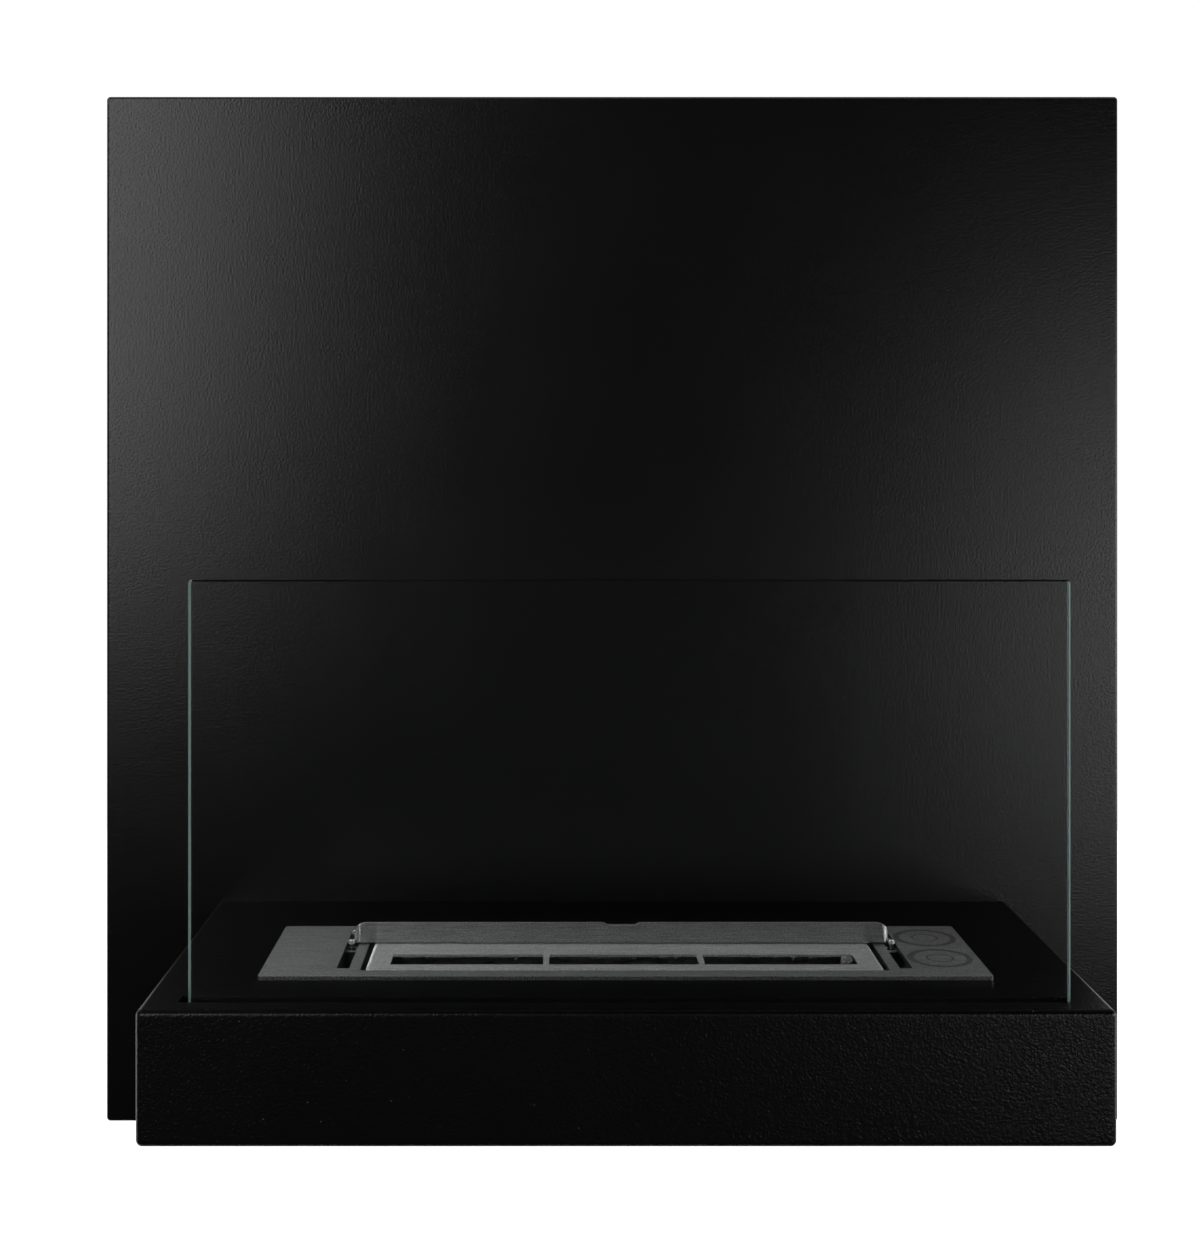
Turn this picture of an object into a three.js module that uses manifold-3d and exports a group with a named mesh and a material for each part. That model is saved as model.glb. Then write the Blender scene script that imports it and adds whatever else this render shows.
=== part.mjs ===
// Wall-hung ethanol fireplace with a glass flame screen.
//
// A folded steel back panel hangs on a wall rail. A shallow hearth box is bolted to its front,
// a glass pane stands in a slot near the front of the box, and a stainless burner with a
// sliding damper drops into an opening behind the pane.
//
// Millimetres, +Z up, +X to the right seen from the room, +Y towards the wall.
// The origin is the middle of the wall rail's back face, so the plane y = 0 is the wall.

import * as THREE from 'three';
import { mergeVertices } from 'three/addons/utils/BufferGeometryUtils.js';
import Module from 'manifold-3d';

const wasm = await Module();
wasm.setup();

// ---------------------------------------------------------------- driving dimensions

const GAP = 0.3; // clearance between pieces that touch on the real object
const PAST = 5; // how far a cutting solid runs past the faces that it cuts

const PANEL = { width: 600, height: 608, depth: 20, sheet: 1.5, bend: 2, topAboveRail: 60 };
const HEARTH = { width: 467, depth: 206.7, height: 65.5, sheet: 1.5, bend: 3, footAbovePanel: 65.5 };
const SERVICE = { width: 407, depth: 150, margin: 28, corner: 4 }; // opening in the box's underside
const SLOT = { width: 431, depth: 10.6, behindFront: 12.4 };
const PANE = { width: 426, rise: 203.5, seat: 15, thickness: 5, behindFront: 13.5, shift: 2 };
const PANE_EDGE = { arris: 0.8, corner: 2 };
const CHANNEL = { width: 438, sheet: 1.2, besideSlot: 0.8 };
const LINER = { width: 428, belowShelf: 4 };
const PAD = { length: 40, thickness: 2.2, spacing: 150 };

const RAIL = { width: 480, leg: 40, sheet: 2, reach: 9, lip: 14 };
const WALL_SCREWS = { hole: 6.5, slot: 14, at: [-200, -60, 60, 200] };
const HANGER = { width: 420, sheet: 2, leg: 30, lip: 14, wallGap: 3 };
const BRACKET = { leg: 42, arm: 110, height: 48, sheet: 3, boltFromWall: 27, boltSpacing: 24 };
const BOLT = { diameter: 6, hole: 7, acrossFlats: 10, head: 4, nut: 5, washer: 12, washerThickness: 1.2 };
const SCREW = { diameter: 3, hole: 4, head: 6, headHeight: 2, length: 4, fromOpening: 6, fromEnd: 30 };
const COVER_PLATE = { width: 431, depth: 174, sheet: 1.5, corner: 3 };

const BURNER = { width: 370, depth: 94.5, sheet: 2, corner: 3, behindFront: 50, shift: 1.6 };
const SHELF_OPENING = { width: 313, front: 6, back: 91, corner: 4 }; // from the plate's front edge
const LID = { width: 264.3, front: 10.5, back: 86.3, rise: 0.6, sheet: 1.2, bend: 2.4, skirt: 7 };
const LID_CUTOUT = { width: 268.9, front: 10.2, back: 86.6, corner: 1.5 };
const FLAME = { length: 240, front: 18.7, back: 36.6, bar: 3, barFromMiddle: 40 };
const TANK = { wall: 1, top: 2.4, bottom: 46, bend: 4 };
const WOOL = { top: 11, clearance: 0.5, corner: 4 };
const TRAY = { width: 304, front: 8.5, back: 88.5, bottom: 52, wall: 1, bend: 4, corner: 6 };

const GUIDE = { inner: 141.35, outer: 147, front: 14, back: 79 }; // slots for the damper's pins
const DAMPER = { width: 286, lipFront: 56, depth: 34, sheet: 1.5, gap: 0.9, top: 12.1 };
const LIP = { corner: 5, roll: 3, bend: 2, returnLength: 8, notchWidth: 19.3, notchDepth: 1.8 };
const PIN = { fromMiddle: 144.2, front: 57.3, back: 76.1 };
const PIN_RADIUS = { shank: 1.3, collar: 2.35, head: 1.8, peen: 2.1 };
const PIN_END = { peen: 0.8, dome: 0.8, chamfer: 0.4, play: 0.1 };
const EAR = { radius: 2.4, hole: 1.65 };
const CLIP = { radius: 4.2, hole: 1.65, thickness: 0.9 };

// Places worked out from them.
const panelTop = PANEL.topAboveRail;
const panelFoot = panelTop - PANEL.height;
const panelFace = -PANEL.depth;
const panelInside = panelFace + PANEL.sheet;
const hearthFoot = panelFoot + HEARTH.footAbovePanel;
const shelfTop = hearthFoot + HEARTH.height;
const shelfUnderside = shelfTop - HEARTH.sheet;
const hearthFront = panelFace - HEARTH.depth;
const plateFront = hearthFront + BURNER.behindFront;

// ---------------------------------------------------------------- making and joining solids

function solidOf(geometry) {
  geometry.deleteAttribute('normal');
  geometry.deleteAttribute('uv');
  const welded = mergeVertices(geometry, 1e-4);
  const vertProperties = Float32Array.from(welded.attributes.position.array);
  const triVerts = Uint32Array.from(welded.index.array);
  return new wasm.Manifold(new wasm.Mesh({ numProp: 3, vertProperties, triVerts }));
}

function geometryOf(solid) {
  const { vertProperties, triVerts } = solid.getMesh();
  const geometry = new THREE.BufferGeometry();
  geometry.setAttribute('position', new THREE.BufferAttribute(vertProperties, 3));
  geometry.setIndex(new THREE.BufferAttribute(triVerts, 1));
  geometry.computeVertexNormals();
  return geometry;
}

function block([x0, x1], [y0, y1], [z0, z1]) {
  const box = new THREE.BoxGeometry(x1 - x0, y1 - y0, z1 - z0);
  box.translate((x0 + x1) / 2, (y0 + y1) / 2, (z0 + z1) / 2);
  return solidOf(box);
}

function roundedRectangle([x0, x1], [y0, y1], radius) {
  const shape = new THREE.Shape();
  shape.absarc(x1 - radius, y0 + radius, radius, -Math.PI / 2, 0);
  shape.absarc(x1 - radius, y1 - radius, radius, 0, Math.PI / 2);
  shape.absarc(x0 + radius, y1 - radius, radius, Math.PI / 2, Math.PI);
  shape.absarc(x0 + radius, y0 + radius, radius, Math.PI, 1.5 * Math.PI);
  shape.closePath();
  return shape;
}

function polygon(points) {
  return new THREE.Shape(points.map(([x, y]) => new THREE.Vector2(x, y)));
}

// A bevel of 0 leaves sharp edges; more than 0 rounds both ends of the extrusion inside its outline.
function extrusion(shape, length, bevel = 0, segments = 3) {
  return new THREE.ExtrudeGeometry(shape, {
    depth: length - 2 * bevel,
    curveSegments: segments,
    bevelEnabled: bevel > 0,
    bevelThickness: bevel,
    bevelSize: bevel,
    bevelOffset: -bevel,
    bevelSegments: segments,
  }).translate(0, 0, bevel);
}

// The outline lies in x and y, and the solid runs from z0 up to z1.
function upright(shape, [z0, z1], bevel, segments) {
  return solidOf(extrusion(shape, z1 - z0, bevel, segments).translate(0, 0, z0));
}

// The outline lies in x and z, and the solid runs from y0 back to y1.
function frontal(shape, [y0, y1], bevel, segments) {
  return solidOf(extrusion(shape, y1 - y0, bevel, segments).rotateX(Math.PI / 2).translate(0, y1, 0));
}

// The outline lies in y and z, and the solid runs from x0 across to x1.
function sideways(shape, [x0, x1]) {
  const turn = new THREE.Matrix4().makeBasis(
    new THREE.Vector3(0, 1, 0),
    new THREE.Vector3(0, 0, 1),
    new THREE.Vector3(1, 0, 0),
  );
  return solidOf(extrusion(shape, x1 - x0).applyMatrix4(turn).translate(x0, 0, 0));
}

// A solid of revolution about the vertical line through x, y; its profile is [radius, z] points.
function turned(profile, [x, y], segments = 16) {
  const lathe = new THREE.LatheGeometry(profile.map(([r, z]) => new THREE.Vector2(r, z)), segments);
  return solidOf(lathe.rotateX(Math.PI / 2).translate(x, y, 0));
}

function rod(radius, [x, y], [z0, z1], segments) {
  return turned([[0, z0], [radius, z0], [radius, z1], [0, z1]], [x, y], segments);
}

// A rod, hexagon or hole that runs along y at x, z.
function crossRod(radius, [x, z], [y0, y1], sides = 16) {
  const rodGeometry = new THREE.CylinderGeometry(radius, radius, y1 - y0, sides);
  return solidOf(rodGeometry.translate(x, (y0 + y1) / 2, z));
}

const middled = (width, shift = 0) => [shift - width / 2, shift + width / 2];
const grown = ([low, high], by) => [low - by, high + by];
const SIDES = { left: -1, right: 1 };

// ---------------------------------------------------------------- materials and nodes

const paint = (color, roughness, metalness) => () => (
  new THREE.MeshStandardMaterial({ color, roughness, metalness })
);
const blackPowder = paint(0x17181a, 0.55, 0.1);
const brushedSteel = paint(0x9a9a98, 0.35, 1);
const zincSteel = paint(0xb4b6b8, 0.4, 1);
const clearGlass = paint(0xd9ece4, 0.05, 0);
const blackRubber = paint(0x0d0d0e, 0.8, 0);
const ceramicWool = paint(0x8f8c86, 0.95, 0);

function node(parent, name, solid, finish) {
  const mesh = new THREE.Mesh(geometryOf(solid), finish());
  mesh.name = name;
  parent.add(mesh);
}

// ---------------------------------------------------------------- wall rail and back panel

function boltPlaces() {
  const places = [];
  for (const side of Object.values(SIDES)) {
    for (const step of [1, -1]) {
      const x = side * (HEARTH.width / 2 - BRACKET.boltFromWall);
      places.push([x, shelfTop - HEARTH.height / 2 + (step * BRACKET.boltSpacing) / 2]);
    }
  }
  return places;
}

function wallRail() {
  const half = RAIL.leg / 2;
  const profile = polygon([
    [0, -half],
    [0, half],
    [RAIL.sheet - RAIL.reach, half],
    [RAIL.sheet - RAIL.reach, half + RAIL.lip],
    [-RAIL.reach, half + RAIL.lip],
    [-RAIL.reach, half - RAIL.sheet],
    [-RAIL.sheet, half - RAIL.sheet],
    [-RAIL.sheet, -half],
  ]);
  let rail = sideways(profile, middled(RAIL.width));
  for (const x of WALL_SCREWS.at) {
    const { hole: height, slot } = WALL_SCREWS;
    const hole = roundedRectangle(middled(slot, x), middled(height), height / 2 - 0.1);
    rail = rail.subtract(frontal(hole, [-RAIL.sheet - PAST, PAST]));
  }
  return rail;
}

function panelHanger() {
  const seat = RAIL.leg / 2 + RAIL.lip + GAP;
  const top = seat + HANGER.sheet;
  const profile = polygon([
    [panelInside, top - HANGER.leg],
    [panelInside + HANGER.sheet, top - HANGER.leg],
    [panelInside + HANGER.sheet, seat],
    [-HANGER.wallGap - HANGER.sheet, seat],
    [-HANGER.wallGap - HANGER.sheet, top - HANGER.lip],
    [-HANGER.wallGap, top - HANGER.lip],
    [-HANGER.wallGap, top],
    [panelInside, top],
  ]);
  return sideways(profile, middled(HANGER.width));
}

// A tray of folded sheet that is open at its back, with its front edges and corners rounded.
function foldedTray(across, up, [front, back], sheet, bend) {
  const inner = bend - sheet;
  const outside = frontal(roundedRectangle(across, up, bend + 0.2), [front, back + PAST], bend);
  const hollow = roundedRectangle(grown(across, -sheet), grown(up, -sheet), inner + 0.2);
  const inside = frontal(hollow, [front + sheet, back + 2 * PAST], inner);
  const behind = block(grown(across, PAST), [back, back + 3 * PAST], grown(up, PAST));
  return outside.subtract(inside).subtract(behind);
}

function backPanel() {
  const { width, sheet, bend } = PANEL;
  let panel = foldedTray(middled(width), [panelFoot, panelTop], [panelFace, 0], sheet, bend);
  for (const place of boltPlaces()) {
    panel = panel.subtract(crossRod(BOLT.hole / 2, place, [panelFace - PAST, panelInside + PAST]));
  }
  return panel;
}

// ---------------------------------------------------------------- hearth box

function coverScrewPlaces() {
  const places = [];
  const side = SERVICE.width / 2 + SCREW.fromOpening;
  for (const x of [-side, 0, side]) {
    const inset = x === 0 ? -SCREW.fromOpening : SCREW.fromEnd;
    const rows = [inset, SERVICE.depth - inset];
    for (const y of rows) {
      places.push([x, hearthFront + SERVICE.margin + y]);
    }
  }
  return places;
}

function hearthShell() {
  const { width, sheet, bend } = HEARTH;
  const depth = [hearthFront, panelFace];
  const through = [shelfUnderside - PAST, shelfTop + PAST];
  const slotFront = hearthFront + SLOT.behindFront;
  const slot = block(middled(SLOT.width), [slotFront, slotFront + SLOT.depth], through);
  const openingDepth = [plateFront + SHELF_OPENING.front, plateFront + SHELF_OPENING.back];
  const opening = roundedRectangle(middled(SHELF_OPENING.width), openingDepth, SHELF_OPENING.corner);
  const serviceFront = hearthFront + SERVICE.margin;
  const serviceDepth = [serviceFront, serviceFront + SERVICE.depth];
  const service = roundedRectangle(middled(SERVICE.width), serviceDepth, SERVICE.corner);
  let shell = foldedTray(middled(width), [hearthFoot, shelfTop], depth, sheet, bend);
  shell = shell.subtract(slot).subtract(upright(opening, through));
  shell = shell.subtract(upright(service, [hearthFoot - PAST, hearthFoot + PAST]));
  for (const place of coverScrewPlaces()) {
    shell = shell.subtract(rod(SCREW.hole / 2, place, [hearthFoot - PAST, hearthFoot + PAST], 12));
  }
  return shell;
}

function shelfBracket(side) {
  const wall = side * (HEARTH.width / 2 - HEARTH.sheet);
  const inward = (distance) => wall - side * distance;
  const outline = [
    [wall, panelFace],
    [wall, panelFace - BRACKET.arm],
    [inward(BRACKET.sheet), panelFace - BRACKET.arm],
    [inward(BRACKET.sheet), panelFace - BRACKET.sheet],
    [inward(BRACKET.leg), panelFace - BRACKET.sheet],
    [inward(BRACKET.leg), panelFace],
  ];
  const middle = shelfTop - HEARTH.height / 2;
  let bracket = upright(polygon(outline), middled(BRACKET.height, middle));
  for (const place of boltPlaces()) {
    bracket = bracket.subtract(crossRod(BOLT.hole / 2, place, grown([panelFace, panelFace], PAST)));
  }
  return bracket;
}

const hexagonRadius = BOLT.acrossFlats / Math.sqrt(3);

function shelfBolt(place) {
  const seat = panelFace - BRACKET.sheet;
  const tip = panelInside + BOLT.washerThickness + BOLT.nut + 1.5;
  const head = crossRod(hexagonRadius, place, [seat - BOLT.head, seat], 6);
  return head.add(crossRod(BOLT.diameter / 2, place, [seat - 1, tip], 12));
}

function shelfWasher(place) {
  const seat = [panelInside, panelInside + BOLT.washerThickness];
  const hole = crossRod(BOLT.diameter / 2 + GAP, place, grown(seat, 1), 12);
  return crossRod(BOLT.washer / 2, place, seat, 20).subtract(hole);
}

function shelfNut(place) {
  const seat = panelInside + BOLT.washerThickness;
  const hole = crossRod(BOLT.diameter / 2 + GAP, place, [seat - 1, seat + BOLT.nut + 1], 12);
  return crossRod(hexagonRadius, place, [seat, seat + BOLT.nut], 6).subtract(hole);
}

function bottomCover() {
  const floor = hearthFoot + HEARTH.sheet;
  const front = hearthFront + SERVICE.margin + (SERVICE.depth - COVER_PLATE.depth) / 2;
  const depth = [front, front + COVER_PLATE.depth];
  const outline = roundedRectangle(middled(COVER_PLATE.width), depth, COVER_PLATE.corner);
  let cover = upright(outline, [floor, floor + COVER_PLATE.sheet]);
  for (const place of coverScrewPlaces()) {
    cover = cover.subtract(rod(SCREW.hole / 2, place, [floor - PAST, floor + PAST], 12));
  }
  return cover;
}

function coverScrew(place) {
  const rim = SCREW.head / 2;
  return turned([
    [0, hearthFoot - SCREW.headHeight],
    [rim * 0.6, hearthFoot - SCREW.headHeight],
    [rim, hearthFoot - SCREW.headHeight * 0.4],
    [rim, hearthFoot],
    [SCREW.diameter / 2, hearthFoot],
    [SCREW.diameter / 2, hearthFoot + SCREW.length],
    [0, hearthFoot + SCREW.length],
  ], place, 12);
}

// ---------------------------------------------------------------- glass and what holds it

const paneFront = hearthFront + PANE.behindFront;
const paneFoot = shelfTop - PANE.seat;
const channelFloor = paneFoot - PAD.thickness - 2 * GAP;

function glassPane() {
  const { arris, corner } = PANE_EDGE;
  const height = [paneFoot, shelfTop + PANE.rise];
  const outline = roundedRectangle(middled(PANE.width, PANE.shift), height, corner);
  return frontal(outline, [paneFront, paneFront + PANE.thickness], arris, 2);
}

function glassChannel() {
  const slotFront = hearthFront + SLOT.behindFront;
  const inside = grown([slotFront, slotFront + SLOT.depth], CHANNEL.besideSlot);
  const across = middled(CHANNEL.width);
  const outside = grown(inside, CHANNEL.sheet);
  const body = block(across, outside, [channelFloor - CHANNEL.sheet, shelfUnderside]);
  return body.subtract(block(grown(across, PAST), inside, [channelFloor, shelfTop]));
}

function glassLiner(isFront) {
  const slotFront = hearthFront + SLOT.behindFront;
  const [inFront, inBack] = grown([slotFront, slotFront + SLOT.depth], CHANNEL.besideSlot - GAP);
  const depth = isFront ? [inFront, paneFront - GAP] : [paneFront + PANE.thickness + GAP, inBack];
  return block(middled(LINER.width), depth, [channelFloor + GAP, shelfTop - LINER.belowShelf]);
}

function glassPad(x) {
  const depth = [paneFront, paneFront + PANE.thickness];
  return block(middled(PAD.length, x), depth, [channelFloor + GAP, paneFoot - GAP]);
}

// ---------------------------------------------------------------- burner
// The burner's own group has its origin on the plate's top face, in the middle of its front edge.

function guideSlot(side) {
  const across = [side * GUIDE.inner, side * GUIDE.outer].sort((a, b) => a - b);
  return block(across, [GUIDE.front, GUIDE.back], [-PAST, PAST]);
}

function burnerTopPlate() {
  const { width, depth, sheet, corner } = BURNER;
  const { front, back } = LID_CUTOUT;
  const cutout = roundedRectangle(middled(LID_CUTOUT.width), [front, back], LID_CUTOUT.corner);
  const plate = upright(roundedRectangle(middled(width), [0, depth], corner), [-sheet, 0]);
  const withCutout = plate.subtract(upright(cutout, [-PAST, PAST]));
  return withCutout.subtract(guideSlot(SIDES.left)).subtract(guideSlot(SIDES.right));
}

// A deep-drawn tub that is open at its top, with rounded corners and bottom edges.
function tub(across, depth, [bottom, top], wall, bend, corner) {
  const outside = upright(roundedRectangle(across, depth, corner), [bottom, top + 2 * bend], bend);
  const hollow = roundedRectangle(grown(across, -wall), grown(depth, -wall), corner - wall);
  const inside = upright(hollow, [bottom + wall, top + 3 * bend], bend - wall);
  const above = block(grown(across, PAST), grown(depth, PAST), [top, top + 4 * bend]);
  return outside.subtract(inside).subtract(above);
}

const lidAcross = middled(LID.width);
const lidDepth = [LID.front, LID.back];
const tankAcross = grown(lidAcross, -LID.sheet - GAP);
const tankDepth = grown(lidDepth, -LID.sheet - GAP);

function flameWindows() {
  const edge = FLAME.barFromMiddle - FLAME.bar / 2;
  const far = FLAME.barFromMiddle + FLAME.bar / 2;
  const spans = [[-FLAME.length / 2, -far], [-edge, edge], [far, FLAME.length / 2]];
  return spans.map((span) => block(span, [FLAME.front, FLAME.back], [-PAST, PAST]));
}

function flameSlotCover() {
  const { rise, sheet, bend, skirt } = LID;
  const outline = roundedRectangle(lidAcross, lidDepth, bend + 0.6);
  const hollow = roundedRectangle(grown(lidAcross, -sheet), grown(lidDepth, -sheet), bend - sheet + 0.6);
  const outside = upright(outline, [-skirt - 2 * bend, rise], bend);
  const inside = upright(hollow, [-skirt - 3 * bend, rise - sheet], bend - sheet);
  const below = block(grown(lidAcross, PAST), grown(lidDepth, PAST), [-skirt - 4 * bend, -skirt]);
  const cap = outside.subtract(inside).subtract(below);
  return flameWindows().reduce((cover, window) => cover.subtract(window), cap);
}

function fuelTank() {
  return tub(tankAcross, tankDepth, [-TANK.bottom, -TANK.top], TANK.wall, TANK.bend, TANK.bend + 1);
}

function ceramicWoolBlock() {
  const across = grown(tankAcross, -TANK.wall - WOOL.clearance);
  const depth = grown(tankDepth, -TANK.wall - WOOL.clearance);
  const height = [-TANK.bottom + TANK.wall + WOOL.clearance, -WOOL.top];
  return upright(roundedRectangle(across, depth, WOOL.corner + 1), height, WOOL.corner, 2);
}

function overflowTray() {
  const { width, front, back, bottom, wall, bend, corner } = TRAY;
  return tub(middled(width), [front, back], [-bottom, -BURNER.sheet], wall, bend, corner);
}

// ---------------------------------------------------------------- sliding damper

const earPlaces = Object.values(SIDES).flatMap((side) => (
  [PIN.front, PIN.back].map((y) => [side * PIN.fromMiddle, y])
));

// The lip is rolled back at both ends, so from above it is a shallow U of sheet.
function lipWall() {
  const { roll, returnLength } = LIP;
  const across = middled(DAMPER.width);
  const outside = roundedRectangle(across, [DAMPER.lipFront, DAMPER.lipFront + 2 * returnLength], roll);
  const inner = grown([DAMPER.lipFront, DAMPER.lipFront + 3 * returnLength], -DAMPER.sheet);
  const hollow = roundedRectangle(grown(across, -DAMPER.sheet), inner, roll - DAMPER.sheet);
  const height = [DAMPER.gap, DAMPER.top];
  const behind = DAMPER.lipFront + returnLength;
  const wall = upright(outside, height).subtract(upright(hollow, grown(height, PAST)));
  return wall.subtract(block(grown(across, PAST), [behind, behind + 3 * returnLength], grown(height, PAST)));
}

// Seen from the front: upper corners rounded, and a shallow finger notch in the top edge.
function lipOutline() {
  const { corner, notchWidth, notchDepth } = LIP;
  const half = DAMPER.width / 2;
  const shape = new THREE.Shape();
  shape.moveTo(-half, DAMPER.gap);
  shape.lineTo(half, DAMPER.gap);
  shape.absarc(half - corner, DAMPER.top - corner, corner, 0, Math.PI / 2);
  shape.lineTo(notchWidth / 2, DAMPER.top);
  shape.lineTo(notchWidth / 2 - notchDepth, DAMPER.top - notchDepth);
  shape.lineTo(notchDepth - notchWidth / 2, DAMPER.top - notchDepth);
  shape.lineTo(-notchWidth / 2, DAMPER.top);
  shape.absarc(corner - half, DAMPER.top - corner, corner, Math.PI / 2, Math.PI);
  shape.closePath();
  return shape;
}

// Seen from the side: the sheet turns from the lip into the flat leaf on a small radius.
function bendOutline() {
  const front = DAMPER.lipFront;
  const back = front + DAMPER.depth;
  const shape = new THREE.Shape();
  shape.moveTo(back, DAMPER.gap);
  shape.lineTo(back, DAMPER.top);
  shape.lineTo(front, DAMPER.top);
  shape.absarc(front + LIP.bend, DAMPER.gap + LIP.bend, LIP.bend, Math.PI, 1.5 * Math.PI);
  shape.closePath();
  return shape;
}

function damperSlide() {
  const across = middled(DAMPER.width);
  const leafDepth = [DAMPER.lipFront, DAMPER.lipFront + DAMPER.depth];
  const leafHeight = [DAMPER.gap, DAMPER.gap + DAMPER.sheet];
  const lip = lipWall().intersect(frontal(lipOutline(), grown(leafDepth, PAST), 0, 5));
  const leaf = upright(roundedRectangle(across, leafDepth, LIP.roll), leafHeight);
  let damper = lip.add(leaf).intersect(sideways(bendOutline(), grown(across, PAST)));
  for (const place of earPlaces) {
    damper = damper.add(rod(EAR.radius, place, leafHeight, 16));
  }
  for (const place of earPlaces) {
    const room = rod(PIN_RADIUS.head + GAP, place, [DAMPER.gap + DAMPER.sheet, DAMPER.top + PAST], 16);
    damper = damper.subtract(rod(EAR.hole, place, [-PAST, DAMPER.top], 16)).subtract(room);
  }
  return damper;
}

function damperPin(place) {
  const { shank, collar, head, peen } = PIN_RADIUS;
  const { chamfer, play } = PIN_END;
  const shoulder = DAMPER.gap - play;
  const seat = DAMPER.gap + DAMPER.sheet + play;
  const underPlate = -BURNER.sheet - GAP;
  const underClip = underPlate - CLIP.thickness - GAP;
  return turned([
    [0, underClip - PIN_END.peen],
    [peen - chamfer, underClip - PIN_END.peen],
    [peen, underClip - PIN_END.peen + chamfer],
    [peen, underClip],
    [shank, underClip],
    [shank, underPlate],
    [collar, underPlate],
    [collar, shoulder],
    [shank, shoulder],
    [shank, seat],
    [head, seat],
    [head - chamfer, seat + chamfer],
    [0, seat + PIN_END.dome],
  ], place);
}

function damperClip(place) {
  const top = -BURNER.sheet - GAP - PIN_END.play;
  const height = [top - CLIP.thickness, top];
  return rod(CLIP.radius, place, height, 16).subtract(rod(CLIP.hole, place, grown(height, 1), 16));
}

// ---------------------------------------------------------------- the whole object

const fireplace = new THREE.Group();
const burner = new THREE.Group();
burner.position.set(BURNER.shift, plateFront, shelfTop + BURNER.sheet);
fireplace.add(burner);

node(fireplace, 'wall_rail', wallRail(), zincSteel);
node(fireplace, 'panel_hanger', panelHanger(), zincSteel);
node(fireplace, 'back_panel', backPanel(), blackPowder);
node(fireplace, 'hearth_shell', hearthShell(), blackPowder);
node(fireplace, 'bottom_cover', bottomCover(), blackPowder);
for (const [name, side] of Object.entries(SIDES)) {
  node(fireplace, `shelf_bracket_${name}`, shelfBracket(side), zincSteel);
}
boltPlaces().forEach((place, index) => {
  node(fireplace, `shelf_bolt_${index + 1}`, shelfBolt(place), zincSteel);
  node(fireplace, `shelf_washer_${index + 1}`, shelfWasher(place), zincSteel);
  node(fireplace, `shelf_nut_${index + 1}`, shelfNut(place), zincSteel);
});
coverScrewPlaces().forEach((place, index) => {
  node(fireplace, `cover_screw_${index + 1}`, coverScrew(place), zincSteel);
});

node(fireplace, 'glass_channel', glassChannel(), blackPowder);
node(fireplace, 'glass_liner_front', glassLiner(true), blackRubber);
node(fireplace, 'glass_liner_back', glassLiner(false), blackRubber);
[-PAD.spacing, 0, PAD.spacing].forEach((x, index) => {
  node(fireplace, `glass_pad_${index + 1}`, glassPad(x), blackRubber);
});
node(fireplace, 'glass_pane', glassPane(), clearGlass);

node(burner, 'burner_top_plate', burnerTopPlate(), brushedSteel);
node(burner, 'flame_slot_cover', flameSlotCover(), brushedSteel);
node(burner, 'fuel_tank', fuelTank(), brushedSteel);
node(burner, 'ceramic_wool_block', ceramicWoolBlock(), ceramicWool);
node(burner, 'overflow_tray', overflowTray(), brushedSteel);

node(burner, 'damper_slide', damperSlide(), brushedSteel);
earPlaces.forEach((place, index) => {
  node(burner, `damper_pin_${index + 1}`, damperPin(place), brushedSteel);
  node(burner, `damper_clip_${index + 1}`, damperClip(place), zincSteel);
});

export default fireplace;
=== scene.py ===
import math
import random

import bmesh
import bpy
from mathutils import Matrix, Vector, noise


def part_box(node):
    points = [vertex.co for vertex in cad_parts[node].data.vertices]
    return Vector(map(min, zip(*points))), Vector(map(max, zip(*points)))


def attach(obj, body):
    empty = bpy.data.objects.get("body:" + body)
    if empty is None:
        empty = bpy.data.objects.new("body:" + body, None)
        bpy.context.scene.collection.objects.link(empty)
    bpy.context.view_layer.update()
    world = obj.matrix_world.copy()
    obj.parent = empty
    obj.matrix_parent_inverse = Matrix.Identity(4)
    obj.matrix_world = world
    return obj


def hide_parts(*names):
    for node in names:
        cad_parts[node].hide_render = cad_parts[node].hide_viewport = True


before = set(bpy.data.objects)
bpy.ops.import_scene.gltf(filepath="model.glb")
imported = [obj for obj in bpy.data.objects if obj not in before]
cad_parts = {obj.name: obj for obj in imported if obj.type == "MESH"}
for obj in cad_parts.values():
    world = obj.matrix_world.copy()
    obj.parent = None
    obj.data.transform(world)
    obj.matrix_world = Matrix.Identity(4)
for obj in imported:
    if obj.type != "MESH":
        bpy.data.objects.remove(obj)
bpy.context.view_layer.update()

# ---------------------------------------------------------------- sizes, mostly the CAD's own

MM = 0.001
X, Y, Z = 0, 1, 2
SHEET = 1.5 * MM
PANEL_BEND = 2.0 * MM
HEARTH_BEND = 3.0 * MM
CORNER_EXTRA = 0.2 * MM       # a pan's corner radius is its bend plus this
FINE_EDGE = 0.2 * MM          # cut sheet edges are broken by about this much
PAST = 5 * MM                 # how far cutters run past what they cut
ON_AXIS = 0.01 * MM           # a turned profile starts and ends this close to its axis

SLOT_BEHIND_FRONT = 12.4 * MM
SLOT_DEPTH = 10.6 * MM
SLOT_WIDTH = 431 * MM
OPENING_WIDTH = 313 * MM
OPENING_FROM_PLATE = (6 * MM, 91 * MM)
OPENING_CORNER = 4 * MM
SERVICE_WIDTH = 407 * MM
SERVICE_FROM_FRONT = (28 * MM, 178 * MM)

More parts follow.
